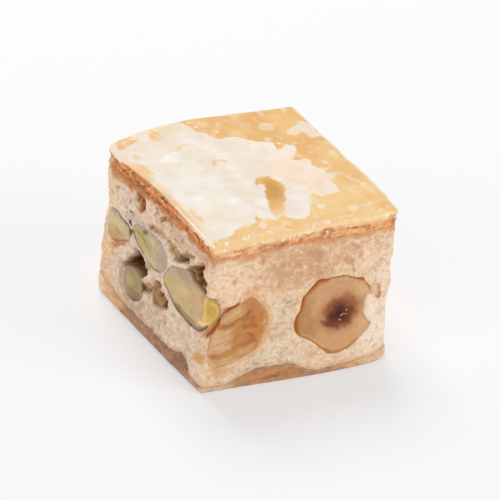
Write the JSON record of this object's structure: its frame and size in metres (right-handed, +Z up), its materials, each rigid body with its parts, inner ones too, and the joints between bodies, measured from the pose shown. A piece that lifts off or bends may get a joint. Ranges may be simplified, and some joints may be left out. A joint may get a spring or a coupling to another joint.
{
  "type": "baklava piece",
  "caption": "Square cut piece of nut baklava: thin pastry sheets above and below a pale crumbly filling, with cut pistachios and hazelnuts at its sides. It rests flat on its base.",
  "frame": {"origin": "middle of the underside, which rests on z = 0", "axes": "+Z up through the layers; +X along the front face, which shows the round cut hazelnut; +Y from the front face to the back"},
  "size_m": [0.0314, 0.0364, 0.0239],
  "materials": {
    "golden_sheet": "golden pastry, glossy with syrup, with a pale matt patch",
    "brown_sheet": "brown baked pastry",
    "filling": "pale crumbly nut paste",
    "pistachio": "cut pistachio, dull yellow-green",
    "hazelnut": "cut roasted hazelnut, tan with a brown rim",
    "nut_skin": "thin amber nut skin"
  },
  "bodies": {
    "root": {"pastry_top": "golden_sheet", "filling": "filling", "pastry_bottom": "brown_sheet", "pistachio_edge": "pistachio", "pistachio_middle": "pistachio", "pistachio_corner": "pistachio", "pistachio_low": "pistachio", "pistachio_right": "pistachio", "pistachio_back": "pistachio", "hazelnut_front": "hazelnut", "hazelnut_broken": "hazelnut", "hazelnut_right": "hazelnut", "hazelnut_back": "hazelnut", "skin_scrap": "nut_skin", "filling_flake": "filling"}
  },
  "joints": []
}
